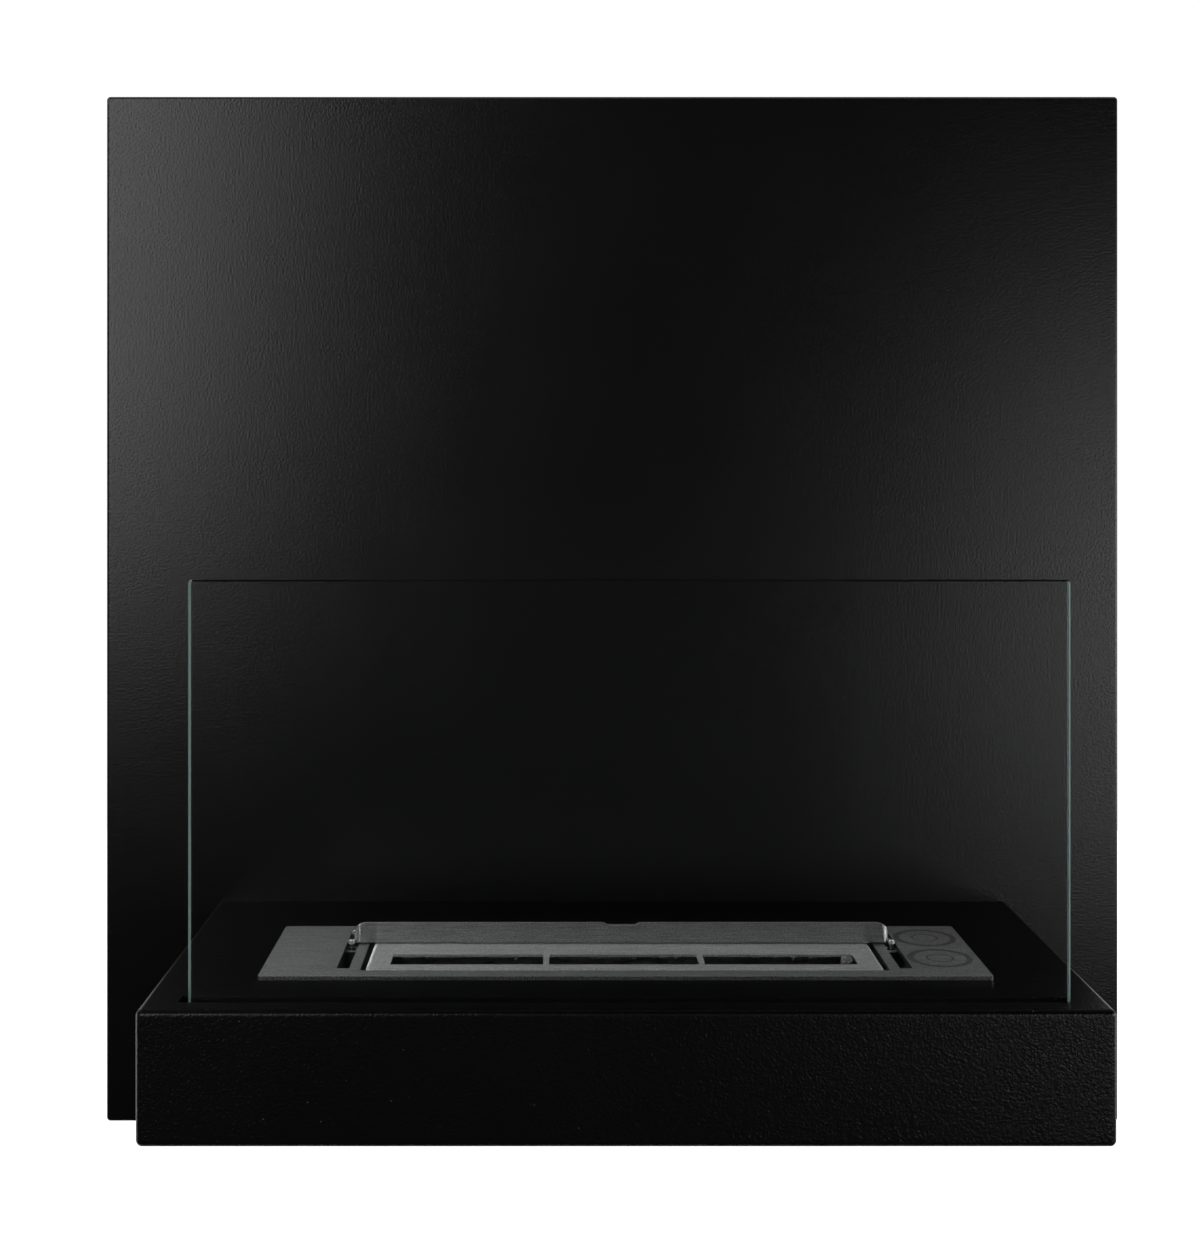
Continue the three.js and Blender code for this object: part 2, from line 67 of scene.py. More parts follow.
PLATE_CORNER = 1.4 * MM
CUTOUT_HALF = 134.8 * MM
CUTOUT_DEPTH = (10.2 * MM, 86.6 * MM)
GUIDE_ACROSS = (140.5 * MM, 147 * MM)
GUIDE_DEPTH = (14 * MM, 79 * MM)
COVER_SHEET = 1.2 * MM
FLAME_HALF = 120 * MM
FLAME_DEPTH = (18.7 * MM, 36.6 * MM)
BAR_FROM_MIDDLE = 40 * MM
BAR_WIDTH = 3 * MM
LOOSE_STRANDS = 150
CURL_LANES = 5
CURL_STRAND = 0.42 * MM

DAMPER_HALF = 143 * MM
LIP_FRONT = 56 * MM
LEAF_DEPTH = 34 * MM
LIP_CORNER = 6.8 * MM
LIP_ROLL = 4 * MM
LIP_BEND = 2 * MM
LIP_RETURN = 8 * MM
NOTCH_HALF = 9.65 * MM
NOTCH_DEPTH = 1.8 * MM
DAMPER_GAP = 0.9 * MM
EAR_RADIUS = 2 * MM
EAR_HOLE = 1.65 * MM
PIN_SHANK = 1.3 * MM
PIN_COLLAR = 2.35 * MM
PIN_HEAD = 1.55 * MM
PIN_PEEN = 2.1 * MM
PIN_DOME = 0.8 * MM
CLIP_RADIUS = 4.2 * MM

SCREW_SLOTS = (-200 * MM, -60 * MM, 60 * MM, 200 * MM)
BOLT_RADIUS = 3 * MM
BOLT_HOLE = 3.3 * MM
BOLT_ACROSS_FLATS = 10 * MM
BOLT_HEAD = 4 * MM
WASHER_RADIUS = 6 * MM

# ---------------------------------------------------------------- places read from the frame


def span(node, axis):
    low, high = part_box(node)
    return low[axis], high[axis]


def spans(node):
    return [span(node, axis) for axis in (X, Y, Z)]


def middle(pair):
    return (pair[0] + pair[1]) / 2


def grown(pair, by):
    return pair[0] - by, pair[1] + by


PLATE_X, PLATE_Y, PLATE_Z = spans("burner_top_plate")
BURNER_X = middle(PLATE_X)
PLATE_FRONT = PLATE_Y[0]
PLATE_TOP = PLATE_Z[1]


def from_plate(pair):
    """Distances behind the burner plate's front edge, as places along Y."""
    return PLATE_FRONT + pair[0], PLATE_FRONT + pair[1]


def from_middle(half):
    """A width centred on the burner."""
    return BURNER_X - half, BURNER_X + half


# ---------------------------------------------------------------- mesh helpers

BEVELLED_ANGLE = math.radians(40)
SHARP_ANGLE = math.radians(50)


def mesh_object(name, bm):
    bmesh.ops.remove_doubles(bm, verts=bm.verts, dist=1e-7)
    bmesh.ops.recalc_face_normals(bm, faces=bm.faces)
    mesh = bpy.data.meshes.new(name)
    bm.to_mesh(mesh)
    bm.free()
    obj = bpy.data.objects.new(name, mesh)
    bpy.context.scene.collection.objects.link(obj)
    return obj


def rounded_outline(u, v, radius, steps=6):
    """Points round a rectangle with round corners, counter-clockwise."""
    radius = max(radius, 0.02 * MM)
    centres = (
        (u[1] - radius, v[0] + radius, -90),
        (u[1] - radius, v[1] - radius, 0),
        (u[0] + radius, v[1] - radius, 90),
        (u[0] + radius, v[0] + radius, 180),
    )
    points = []
    for cu, cv, start in centres:
        for step in range(steps + 1):
            angle = math.radians(start + 90 * step / steps)
            points.append((cu + radius * math.cos(angle), cv + radius * math.sin(angle)))
    return points


def loft(name, loops, closed=False):
    """Skins loops of equal length. An open loft is capped at both ends; a closed one is a ring."""
    bm = bmesh.new()
    rings = [[bm.verts.new(point) for point in loop] for loop in loops]
    pairs = list(zip(rings, rings[1:]))
    if closed:
        pairs.append((rings[-1], rings[0]))
    for near, far in pairs:
        for i in range(len(near)):
            j = (i + 1) % len(near)
            bm.faces.new((near[i], near[j], far[j], far[i]))
    if not closed:
        bm.faces.new(rings[0])
        bm.faces.new(rings[-1])
    return mesh_object(name, bm)


def on_z(outline, z):
    return [(x, y, z) for x, y in outline]


def on_y(outline, y):
    return [(x, y, z) for x, z in outline]


def on_x(outline, x):
    return [(x, y, z) for y, z in outline]


def upright(name, outline, z):
    return loft(name, [on_z(outline, z[0]), on_z(outline, z[1])])


def frontal(name, outline, y):
    return loft(name, [on_y(outline, y[0]), on_y(outline, y[1])])


def sideways(name, outline, x):
    return loft(name, [on_x(outline, x[0]), on_x(outline, x[1])])


def block(name, x, y, z):
    return upright(name, rounded_outline(x, y, 0, 1), z)


def pan(name, u, v, depth, sheet, bend, place, corner=None, steps=7):
    """A folded or drawn pan: a face, edges rounded on the bend, walls, a rim and the inside."""
    corner = bend + CORNER_EXTRA if corner is None else corner
    inner = max(bend - sheet, 0.4 * MM)
    profile = [(bend + 2 * MM, 0)]
    for step in range(steps + 1):
        angle = math.radians(90 * step / steps)
        profile.append((bend * (1 - math.sin(angle)), bend * (1 - math.cos(angle))))
    profile.append((0, depth))
    profile.append((sheet, depth))
    for step in reversed(range(steps + 1)):
        angle = math.radians(90 * step / steps)
        inset = sheet + inner * (1 - math.sin(angle))
        profile.append((inset, sheet + inner * (1 - math.cos(angle))))
    loops = []
    for inset, down in profile:
        outline = rounded_outline(grown(u, -inset), grown(v, -inset), corner - inset)
        loops.append([place(a, b, down) for a, b in outline])
    return loft(name, loops)


def turned(name, profile, centre, axis=Z, segments=32):
    """A solid of revolution; its profile is (radius, place along the axis) from axis to axis."""
    loops = []
    for radius, along in profile:
        loop = []
        for k in range(segments):
            angle = 2 * math.pi * k / segments
            across = (radius * math.cos(angle), radius * math.sin(angle))
            if axis == Z:
                loop.append((centre[0] + across[0], centre[1] + across[1], along))
            else:
                loop.append((centre[0] + across[0], along, centre[1] + across[1]))
        loops.append(loop)
    return loft(name, loops)


def cylinder(radius, along):
    """The turned profile of a plain rod."""
    return [(ON_AXIS, along[0]), (radius, along[0]), (radius, along[1]), (ON_AXIS, along[1])]


def apply_modifiers(obj):
    evaluated = obj.evaluated_get(bpy.context.evaluated_depsgraph_get())
    mesh = bpy.data.meshes.new_from_object(evaluated)
    old = obj.data
    obj.modifiers.clear()
    obj.data = mesh
    bpy.data.meshes.remove(old)


def combine(obj, others, operation):
    for other in others:
        modifier = obj.modifiers.new("combine", "BOOLEAN")
        modifier.operation = operation
        modifier.solver = "EXACT"
        modifier.object = other
        apply_modifiers(obj)
        mesh = other.data
        bpy.data.objects.remove(other)
        bpy.data.meshes.remove(mesh)
    return obj


def cut(obj, *others):
    return combine(obj, others, "DIFFERENCE")


def keep(obj, *others):
    return combine(obj, others, "INTERSECT")


def join(obj, *others):
    return combine(obj, others, "UNION")


def folded_outline(points, sheet, radius, steps=5):
    """The outline of sheet metal: its middle line runs through points, turning on a mean radius."""
    points = [Vector(p) for p in points]
    line = [(points[0], (points[1] - points[0]).normalized())]
    for before, here, after in zip(points, points[1:], points[2:]):
        come = (here - before).normalized()
        go = (after - here).normalized()
        turn = come.angle_signed(go) * -1
        reach = radius * math.tan(abs(turn) / 2)
        start = here - come * reach
        side = Vector((-come.y, come.x)) * math.copysign(radius, turn)
        centre = start + side
        for step in range(steps + 1):
            swing = Matrix.Rotation(turn * step / steps, 2)
            line.append((centre + swing @ (-side), swing @ come))
    line.append((points[-1], (points[-1] - points[-2]).normalized()))
    left = [p + Vector((-t.y, t.x)) * sheet / 2 for p, t in line]
    right = [p - Vector((-t.y, t.x)) * sheet / 2 for p, t in line]
    return [tuple(p) for p in left + right[::-1]]


def box_uv(mesh):
    """Flat UVs in metres with U along X, so that the brushing direction is known everywhere."""
    layer = mesh.uv_layers.new(name="UVMap")
    for polygon in mesh.polygons:
        n = polygon.normal
        for index in polygon.loop_indices:
            p = mesh.vertices[mesh.loops[index].vertex_index].co
            if abs(n.x) > max(abs(n.y), abs(n.z)):
                layer.data[index].uv = (p.y, p.z)
            elif abs(n.y) > abs(n.z):
                layer.data[index].uv = (p.x, p.z)
            else:
                layer.data[index].uv = (p.x, p.y)


def recoat(obj, material, chosen):
    """Gives the chosen polygons of a dressed piece another material."""
    obj.data.materials.append(material)
    index = len(obj.data.materials) - 1
    for polygon in obj.data.polygons:
        if chosen(polygon):
            polygon.material_index = index


def dress(obj, body, slot, material, replaces=(), edge=FINE_EDGE, segments=2):
    """Gives a finished piece its edges, smooth shading, material and body. The slot argument is not
    used.
    """
    if edge:
        bevel = obj.modifiers.new("broken_edges", "BEVEL")
        bevel.width = edge
        bevel.segments = segments
        bevel.limit_method = "ANGLE"
        bevel.angle_limit = BEVELLED_ANGLE
        apply_modifiers(obj)
    mesh = obj.data
    mesh.shade_smooth()
    mesh.set_sharp_from_angle(angle=SHARP_ANGLE)
    mesh.materials.clear()
    mesh.materials.append(material)
    box_uv(mesh)
    weighted = obj.modifiers.new("even_normals", "WEIGHTED_NORMAL")
    weighted.keep_sharp = True
    weighted.weight = 90
    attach(obj, body)
    if replaces:
        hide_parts(*replaces)
    return obj


# ---------------------------------------------------------------- materials


class Material:
    """A node material: add() makes a node with its socket values, and join() links two sockets."""

    def __init__(self, name):
        self.material = bpy.data.materials.new(name)
        self.material.use_nodes = True
        self.tree = self.material.node_tree
        self.tree.nodes.clear()
        self.output = self.tree.nodes.new("ShaderNodeOutputMaterial")

    def add(self, kind, values=None, **settings):
        made = self.tree.nodes.new("ShaderNode" + kind)
        for key, value in settings.items():
            setattr(made, key, value)
        for key, value in (values or {}).items():
            made.inputs[key].default_value = value
        return made

    def join(self, source, target):
        self.tree.links.new(source, target)

    def position(self, scale):
        """The point on the piece, stretched by scale."""
        where = self.add("TexCoord")
        stretch = self.add("Mapping", {"Scale": scale})
        self.join(where.outputs["Object"], stretch.inputs["Vector"])
        return stretch.outputs["Vector"]

    def noise(self, vector, scale, detail=3.0, roughness=0.5):
        made = self.add("TexNoise", {"Scale": scale, "Detail": detail, "Roughness": roughness})
        self.join(vector, made.inputs["Vector"])
        return made.outputs["Fac"]

    def remap(self, source, low, high, from_low=0.0, from_high=1.0):
        made = self.add(
            "MapRange",
            {"From Min": from_low, "From Max": from_high, "To Min": low, "To Max": high},
        )
        self.join(source, made.inputs["Value"])
        return made.outputs["Result"]

    def blend(self, amount, first, second):
        """A colour between two, each a plain colour or a colour socket."""
        made = self.add("Mix", data_type="RGBA")
        self.join(amount, made.inputs["Factor"])
        for colour, socket in ((first, made.inputs["A"]), (second, made.inputs["B"])):
            if isinstance(colour, tuple):
                socket.default_value = (*colour, 1)
            else:
                self.join(colour, socket)
        return made.outputs["Result"]

    def math(self, operation, first, second):
        made = self.add("Math", operation=operation)
        for value, socket in ((first, made.inputs[0]), (second, made.inputs[1])):
            if isinstance(value, (int, float)):
                socket.default_value = value
            else:
                self.join(value, socket)
        return made.outputs["Value"]

    def bump(self, height, distance):
        made = self.add("Bump", {"Distance": distance, "Strength": 1.0})
        self.join(height, made.inputs["Height"])
        return made.outputs["Normal"]

    def finish(self, shader):
        self.join(shader.outputs[0], self.output.inputs["Surface"])
        return self.material


def powder_coat(name, grain_depth, roughness, tone, ior, dust=0.0):
    """Black epoxy powder: an even orange-peel grain of about 1.2 mm, and a few specks of dust."""
    m = Material(name)
    even = m.position((1, 1, 1))
    grain = m.noise(even, 800, 2.0, 0.6)
    patches = m.noise(even, 14, 4.0, 0.6)
    shader = m.add("BsdfPrincipled", {"IOR": ior})
    colour = m.blend(patches, (0.8 * tone,) * 3, (1.2 * tone,) * 3)
    if dust:
        specks = m.add("TexVoronoi", {"Scale": 130.0, "Randomness": 1.0})
        m.join(even, specks.inputs["Vector"])
        rare = m.remap(specks.outputs["Distance"], dust, 0.0, 0.0, 0.055)
        colour = m.blend(rare, colour, (0.2, 0.2, 0.2))
    m.join(colour, shader.inputs["Base Color"])
    m.join(m.remap(patches, roughness - 0.02, roughness + 0.03), shader.inputs["Roughness"])
    m.join(m.bump(grain, grain_depth), shader.inputs["Normal"])
    return m.finish(shader)


def etched_rings(m, centres, outer, width):
    """1 on the plain ring marks etched at these centres, 0 elsewhere."""
    where = m.add("TexCoord")
    marks = None
    for centre in centres:
        away = m.add("VectorMath", {1: (*centre, PLATE_TOP)}, operation="DISTANCE")
        m.join(where.outputs["Object"], away.inputs[0])
        for radius, thickness in ((outer, width), (outer * 0.5, width * 0.35)):
            gap = m.math("SUBTRACT", away.outputs["Value"], radius - width / 2)
            off = m.math("ABSOLUTE", gap, 0)
            ring = m.math("LESS_THAN", off, thickness / 2)
            marks = ring if marks is None else m.math("MAXIMUM", marks, ring)
    return marks


def brushed_steel(name, roughness=0.374, anisotropic=1.0, base=0.5, marks=None):
    """Stainless sheet brushed along X: fine streaks and speckle in height, roughness and tone."""
    m = Material(name)
    even = m.position((1, 1, 1))
    along_x = m.position((0.04, 1, 1))
    streaks = m.noise(along_x, 1500, 3.0, 0.65)
    speckle = m.noise(even, 1300, 2.0, 0.6)
    clouds = m.noise(even, 38, 4.0, 0.65)
    shader = m.add(
        "BsdfPrincipled",
        {"Metallic": 1.0, "Anisotropic": anisotropic, "Anisotropic Rotation": 0.25},
    )
    texture = m.math("ADD", m.math("MULTIPLY", streaks, 0.4), m.math("MULTIPLY", speckle, 0.6))
    texture = m.remap(texture, 0.0, 1.0, 0.35, 0.65)
    tone = m.blend(texture, (base * 0.5,) * 3, (min(base * 1.5, 0.98),) * 3)
    tone = m.blend(m.remap(clouds, 0.0, 0.3, 0.35, 0.75), tone, (base * 0.75,) * 3)
    if marks:
        tone = m.blend(m.math("MULTIPLY", etched_rings(m, *marks), 0.62), tone, (base * 0.25,) * 3)
    m.join(tone, shader.inputs["Base Color"])
    m.join(m.remap(clouds, roughness - 0.03, roughness + 0.04), shader.inputs["Roughness"])
    direction = m.add("Tangent", direction_type="UV_MAP", uv_map="UVMap")
    m.join(direction.outputs["Tangent"], shader.inputs["Tangent"])
    m.join(m.bump(streaks, 0.02 * MM), shader.inputs["Normal"])
    return m.finish(shader)


def cut_edge(name, dark, light, smooth, rough):
    """The laser-cut edge of the stainless sheet, finely speckled. In light tones it is also a
    painted highlight on the burner plate's chamfer.
    """
    m = Material(name)
    striae = m.noise(m.position((1, 1, 0.8)), 1500, 3.0, 0.7)
    shader = m.add("BsdfPrincipled", {"Metallic": 1.0})
    contrast = m.remap(striae, 0.0, 1.0, 0.38, 0.62)
    m.join(m.blend(contrast, (dark,) * 3, (light,) * 3), shader.inputs["Base Color"])
    m.join(m.remap(striae, smooth, rough), shader.inputs["Roughness"])
    m.join(m.bump(striae, 0.04 * MM), shader.inputs["Normal"])
    return m.finish(shader)


def zinc():
    """Bright zinc plating with faint spangle and streaky passivation."""
    m = Material("zinc_plate")
    even = m.position((1, 1, 1))
    spangle = m.add("TexVoronoi", {"Scale": 160.0})
    m.join(even, spangle.inputs["Vector"])
    film = m.noise(even, 60, 4.0, 0.6)
    shader = m.add("BsdfPrincipled", {"Metallic": 1.0})
    m.join(m.blend(film, (0.5, 0.51, 0.53), (0.68, 0.69, 0.68)), shader.inputs["Base Color"])
    m.join(m.remap(spangle.outputs["Distance"], 0.28, 0.42), shader.inputs["Roughness"])
    m.join(m.bump(film, 0.02 * MM), shader.inputs["Normal"])
    return m.finish(shader)


def silicone():
    """Matt black silicone rubber with a bloom of talc."""
    m = Material("silicone")
    film = m.noise(m.position((1, 1, 1)), 220, 4.0, 0.6)
    shader = m.add("BsdfPrincipled", {})
    m.join(m.blend(film, (0.006, 0.006, 0.006), (0.02, 0.02, 0.021)), shader.inputs["Base Color"])
    m.join(m.remap(film, 0.6, 0.85), shader.inputs["Roughness"])
    m.join(m.bump(film, 0.05 * MM), shader.inputs["Normal"])
    return m.finish(shader)


def fibre():
    """Ceramic fibre: off-white fluff, scorched in patches, with a felted surface."""
    m = Material("ceramic_fibre")
    even = m.position((1, 1, 1))
    scorch = m.noise(even, 75, 5.0, 0.7)
    fluff = m.noise(m.position((0.4, 1, 1)), 1400, 4.0, 0.7)
    shader = m.add("BsdfPrincipled", {"Roughness": 0.95, "Specular IOR Level": 0.1})
    tone = m.blend(m.remap(scorch, 0.0, 1.0, 0.35, 0.68), (0.13, 0.126, 0.122), (0.54, 0.52, 0.5))
    tone = m.blend(m.remap(fluff, 0.0, 0.5, 0.3, 0.7), tone, (0.1, 0.1, 0.1))
    m.join(tone, shader.inputs["Base Color"])
    m.join(m.bump(fluff, 0.4 * MM), shader.inputs["Normal"])
    return m.finish(shader)


def clear_glass():
    """Toughened float glass: clear through its faces and green-blue through its length."""
    m = Material("clear_glass")
    smears = m.noise(m.position((1, 1, 0.4)), 30, 4.0, 0.6)
    shader = m.add("BsdfPrincipled", {"Transmission Weight": 1.0, "IOR": 1.52})
    shader.inputs["Base Color"].default_value = (1, 1, 1, 1)
    m.join(m.remap(smears, 0.0, 0.012, 0.45, 0.9), shader.inputs["Roughness"])
    lamps_pass = m.add("BsdfTransparent")
    lamps_pass.inputs["Color"].default_value = (0.92, 0.92, 0.92, 1)
    path = m.add("LightPath")
    either = m.add("MixShader")
    m.join(path.outputs["Is Shadow Ray"], either.inputs[0])
    m.join(shader.outputs[0], either.inputs[1])
    m.join(lamps_pass.outputs[0], either.inputs[2])
    body = m.add("VolumeAbsorption", {"Density": 8.0})
    body.inputs["Color"].default_value = (0.6, 0.93, 0.9, 1)
    m.join(body.outputs[0], m.output.inputs["Volume"])
    return m.finish(either)


def ground_glass():
    """The pane's ground edge: pale, slightly green and half translucent."""
    m = Material("ground_glass")
    grind = m.noise(m.position((1, 1, 0.1)), 900, 3.0, 0.6)
    shader = m.add("BsdfPrincipled", {"Transmission Weight": 0.45, "IOR": 1.52})
    m.join(m.blend(grind, (0.1, 0.2, 0.19), (0.22, 0.34, 0.32)), shader.inputs["Base Color"])
    m.join(m.remap(grind, 0.3, 0.45), shader.inputs["Roughness"])
    return m.finish(shader)


RING_CENTRES = (
    (BURNER_X + 165 * MM, PLATE_FRONT + 32.4 * MM),
    (BURNER_X + 165 * MM, PLATE_FRONT + 70.9 * MM),
)
RING_RADIUS = 16.75 * MM
RING_WIDTH = 3.2 * MM

PANEL_COAT = powder_coat(
    "panel_powder_coat", grain_depth=0.17 * MM, roughness=0.25, tone=0.0015, ior=1.5)
HEARTH_COAT = powder_coat(
    "hearth_powder_coat", grain_depth=0.3 * MM, roughness=0.27, tone=0.002, ior=1.42, dust=0.8)
# Painted shade: a darker, less glossy copy of the hearth coat, so the box's top faces read darker
# than its front.
SHADED_TOP_COAT = powder_coat(
    "shelf_powder_coat_painted_shade", grain_depth=0.2 * MM, roughness=0.3, tone=0.001, ior=1.14, dust=0.8)
PLATE_STEEL = brushed_steel("plate_steel", base=0.36, marks=(RING_CENTRES, RING_RADIUS, RING_WIDTH))
COVER_STEEL = brushed_steel("cover_steel", roughness=0.4, base=0.74)
DAMPER_STEEL = brushed_steel("damper_steel", base=0.52)
TANK_STEEL = brushed_steel("tank_steel", roughness=0.4, anisotropic=0.3, base=0.5)
PIN_STEEL = brushed_steel("pin_steel", roughness=0.2, anisotropic=0.0, base=0.9)
EDGE_STEEL = cut_edge("cut_edge", dark=0.01, light=0.3, smooth=0.3, rough=0.5)
# Painted highlight: a much lighter, smoother copy of the steel that paints a bright line along the
# burner plate's front chamfer.
HIGHLIGHT_EDGE_STEEL = cut_edge("broken_edge", dark=0.5, light=1.0, smooth=0.12, rough=0.28)
ZINC = zinc()
SILICONE = silicone()
FIBRE = fibre()
GLASS = clear_glass()
GROUND_GLASS = ground_glass()

# ---------------------------------------------------------------- panel, rail and hearth box


def back_panel():
    y = span("back_panel", Y)

    def place(x, z, down):
        return (x, y[0] + down, z)

    size = (span("back_panel", X), span("back_panel", Z), y[1] - y[0])
    made = pan("folded_back_panel", *size, SHEET, PANEL_BEND, place)
    dress(made, "wall_unit", "black_powder_coat", PANEL_COAT, ["back_panel"])


def hearth_box():
    x, y, z = spans("hearth_shell")

    def place(across, up, down):
        return (across, y[0] + down, up)

    made = pan("folded_hearth_box", x, z, y[1] - y[0], SHEET, HEARTH_BEND, place)
    top = (z[1] - PAST, z[1] + PAST)
    foot = (z[0] - PAST, z[0] + PAST)
    slot_front = y[0] + SLOT_BEHIND_FRONT
    slot_half = SLOT_WIDTH / 2
    slot = block("slot", (-slot_half, slot_half), (slot_front, slot_front + SLOT_DEPTH), top)
    half = OPENING_WIDTH / 2
    opening = rounded_outline((-half, half), from_plate(OPENING_FROM_PLATE), OPENING_CORNER)
    service_y = (y[0] + SERVICE_FROM_FRONT[0], y[0] + SERVICE_FROM_FRONT[1])
    service = rounded_outline((-SERVICE_WIDTH / 2, SERVICE_WIDTH / 2), service_y, OPENING_CORNER)
    cut(made, slot, upright("opening", opening, top), upright("service", service, foot))
    dress(made, "wall_unit", "black_powder_coat", HEARTH_COAT, ["hearth_shell"], edge=0.4 * MM)
    # Painted shade: the upward faces take the darker copy of the coat.
    recoat(made, SHADED_TOP_COAT, lambda face: face.normal.z > 0.45)


def bottom_cover():
    x, y, z = spans("bottom_cover")
    made = upright("bottom_plate", rounded_outline(x, y, 3 * MM), z)
    dress(made, "wall_unit", "black_powder_coat", HEARTH_COAT, ["bottom_cover"])


def wall_rail():
    """One folded strip: leg on the wall, shelf, and the lip that the panel hooks over."""
    x, y, z = spans("wall_rail")
    sheet = 2 * MM
    shelf = -z[0] - sheet / 2
    points = [
        (y[1] - sheet / 2, z[0]),
        (y[1] - sheet / 2, shelf),
        (y[0] + sheet / 2, shelf),
        (y[0] + sheet / 2, z[1]),
    ]
    made = sideways("folded_wall_rail", folded_outline(points, sheet, 1.6 * MM), x)
    for place in SCREW_SLOTS:
        hole = rounded_outline((place - 7 * MM, place + 7 * MM), (-3.25 * MM, 3.25 * MM), 3.2 * MM)
        cut(made, frontal("screw_slot", hole, grown(y, PAST)))
    dress(made, "wall_unit", "zinc_steel", ZINC, ["wall_rail"])


def panel_hanger():
    x, y, z = spans("panel_hanger")
    sheet = 2 * MM
    lip = 14 * MM
    points = [
        (y[0] + sheet / 2, z[0]),
        (y[0] + sheet / 2, z[1] - sheet / 2),
        (y[1] - sheet / 2, z[1] - sheet / 2),
        (y[1] - sheet / 2, z[1] - lip),
    ]
    made = sideways("folded_panel_hanger", folded_outline(points, sheet, 1.6 * MM), x)
    dress(made, "wall_unit", "zinc_steel", ZINC, ["panel_hanger"])


def shelf_brackets():
    """Each bracket is an angle: one leg on the panel, and an arm along the hearth box's side."""
    sheet = 3 * MM
    for name, side in (("left", -1), ("right", 1)):
        node = "shelf_bracket_" + name
        x, y, z = spans(node)
        wall, inner = (x[0], x[1]) if side < 0 else (x[1], x[0])
        line = wall - side * sheet / 2
        points = [(inner, y[1] - sheet / 2), (line, y[1] - sheet / 2), (line, y[0])]
        made = upright("folded_bracket_" + name, folded_outline(points, sheet, 2.2 * MM), z)
        dress(made, "wall_unit", "zinc_steel", ZINC, [node])


def hexagon(name, centre, y, across_flats, chamfered_end):
    """A hexagon head or nut along Y, its corners turned down at the chamfered end."""
    reach = across_flats / 2
    corner = reach / math.cos(math.pi / 6)
    turned_down = 0.7 * MM
    near, far = (y[0], y[1]) if chamfered_end == "front" else (y[1], y[0])
    step_in = math.copysign(turned_down, far - near)
    loops = []
    for along, limit in ((near, reach * 0.93), (near + step_in, corner), (far, corner)):
        loop = []
        for k in range(48):
            angle = 2 * math.pi * k / 48
            flat = reach / math.cos((angle + math.pi / 6) % (math.pi / 3) - math.pi / 6)
            radius = min(flat, limit)
            across = (radius * math.sin(angle), radius * math.cos(angle))
            loop.append((centre[0] + across[0], along, centre[1] + across[1]))
        loops.append(loop)
    return loft(name, loops)


def threaded_tip(name, centre, y, radius, pitch=1 * MM):
    """A bolt's shank with thread ridges over its whole length and a turned-down tip."""
    profile = [(ON_AXIS, y[0]), (radius, y[0])]
    turns = int((y[1] - y[0]) / pitch) - 1
    for turn in range(turns):
        start = y[0] + turn * pitch
        profile.append((radius, start + 0.25 * pitch))
        profile.append((radius * 0.88, start + 0.6 * pitch))
        profile.append((radius, start + 0.95 * pitch))
    profile.append((radius, y[1] - 0.6 * MM))
    profile.append((radius * 0.8, y[1]))
    profile.append((ON_AXIS, y[1]))
    return turned(name, profile, centre, Y, 24)


def shelf_fasteners():
    for number in range(1, 5):
        bolt = f"shelf_bolt_{number}"
        x, y, z = spans(bolt)
        centre = (middle(x), middle(z))
        head_y = (y[0], y[0] + BOLT_HEAD)
        head = hexagon(f"hex_bolt_{number}", centre, head_y, BOLT_ACROSS_FLATS, "front")
        shank = threaded_tip("shank", centre, (head_y[1] - 0.5 * MM, y[1]), BOLT_RADIUS)
        join(head, shank)
        dress(head, "wall_unit", "zinc_steel", ZINC, [bolt], edge=0)
        washer_y = span(f"shelf_washer_{number}", Y)
        near, far = washer_y
        rings = [(BOLT_HOLE, near), (WASHER_RADIUS, near), (WASHER_RADIUS, far), (BOLT_HOLE, far)]
        washer = ring_of(f"flat_washer_{number}", rings, centre)
        dress(washer, "wall_unit", "zinc_steel", ZINC, [f"shelf_washer_{number}"], edge=0.15 * MM)
        nut_y = span(f"shelf_nut_{number}", Y)
        nut = hexagon(f"hex_nut_{number}", centre, nut_y, BOLT_ACROSS_FLATS, "back")
        cut(nut, turned("bore", cylinder(BOLT_HOLE, grown(nut_y, PAST)), centre, Y, 24))
        dress(nut, "wall_unit", "zinc_steel", ZINC, [f"shelf_nut_{number}"], edge=0)


def ring_of(name, rings, centre, axis=Y, segments=32):
    """A closed ring of revolution from (radius, place along the axis) points."""
    loops = []
    for k in range(segments):
        angle = 2 * math.pi * k / segments
        loop = []
        for radius, along in rings:
            across = (centre[0] + radius * math.cos(angle), centre[1] + radius * math.sin(angle))
            loop.append((across[0], along, across[1]) if axis == Y else (*across, along))
        loops.append(loop)
    return loft(name, loops, closed=True)


def cover_screws():
    """Pan-head screws with a cross recess, driven up through the hearth box's floor."""
    for number in range(1, 7):
        node = f"cover_screw_{number}"
        x, y, z = spans(node)
        centre = (middle(x), middle(y))
        seat = z[0] + 2 * MM
        profile = [(ON_AXIS, z[0]), (1.6 * MM, z[0] + 0.05 * MM), (2.4 * MM, z[0] + 0.4 * MM),
                   (2.9 * MM, z[0] + 1.1 * MM), (3 * MM, seat), (1.5 * MM, seat),
                   (1.5 * MM, z[1] - 0.3 * MM), (1.2 * MM, z[1]), (ON_AXIS, z[1])]
        screw = turned(f"pan_head_screw_{number}", profile, centre)
        for half in ((1.5, 0.3), (0.3, 1.5)):
            arm_x = (centre[0] - half[0] * MM, centre[0] + half[0] * MM)
            arm_y = (centre[1] - half[1] * MM, centre[1] + half[1] * MM)
            cut(screw, block("recess", arm_x, arm_y, (z[0] - PAST, z[0] + 1.2 * MM)))
        dress(screw, "wall_unit", "zinc_steel", ZINC, [node], edge=0)


# ---------------------------------------------------------------- glass


